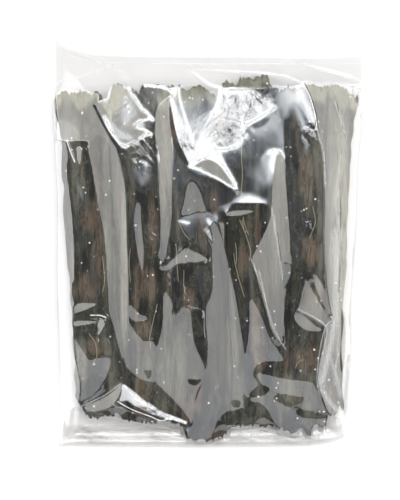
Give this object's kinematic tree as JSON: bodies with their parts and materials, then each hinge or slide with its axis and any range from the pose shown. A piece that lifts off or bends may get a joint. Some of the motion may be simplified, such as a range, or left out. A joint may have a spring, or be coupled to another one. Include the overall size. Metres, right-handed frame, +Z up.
{
  "type": "bag of dried kelp strips",
  "caption": "Clear flat film bag, sealed at the top and filled with long folded strips of dried kelp, lying on its back.",
  "frame": {"origin": "centre of the bag's bounding box in plan, at the level of the table", "axes": "+X across the strips, +Y along them towards the empty header of the bag, +Z up, out of the shown side"},
  "size_m": [0.199, 0.2606, 0.0267],
  "materials": {
    "clear_film": "clear glossy film over dark olive-brown kelp",
    "dried_kelp": "dry leathery kelp, dark olive brown, satin, with thin paler edges"
  },
  "bodies": {
    "root": {"sealed_bag": "clear_film"}
  },
  "joints": []
}
